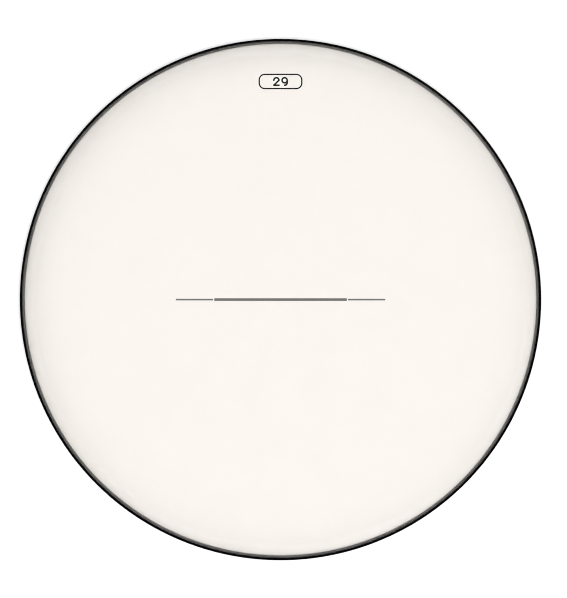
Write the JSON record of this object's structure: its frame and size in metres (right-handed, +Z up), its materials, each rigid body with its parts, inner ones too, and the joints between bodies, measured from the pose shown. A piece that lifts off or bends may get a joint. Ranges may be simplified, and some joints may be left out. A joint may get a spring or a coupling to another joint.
{
  "type": "drum head",
  "caption": "Timpani drum head: a hazy polyester film with a sloping collar, its edge hooked and cast into a black channel flesh hoop, with a printed centre mark.",
  "frame": {"origin": "centre of the flesh hoop's underside, which the head lies on", "axes": "+Z up along the head's axis, from the hoop's underside to the playing surface; +X along the printed centre mark; +Y towards the printed size stamp"},
  "size_m": [0.7366, 0.7366, 0.015],
  "materials": {
    "hoop": "satin",
    "film": "satin",
    "resin": "satin",
    "insert": "satin",
    "grey_ink": "matte",
    "black_ink": "matte"
  },
  "bodies": {
    "root": {"flesh_hoop": "hoop", "hoop_weld": "hoop", "film": "film", "resin_fill": "resin", "insert_ring": "insert", "centre_bar": "grey_ink", "centre_line_left": "grey_ink", "centre_line_right": "grey_ink", "stamp_border": "black_ink", "stamp_two": "black_ink", "stamp_nine": "black_ink"}
  },
  "joints": []
}
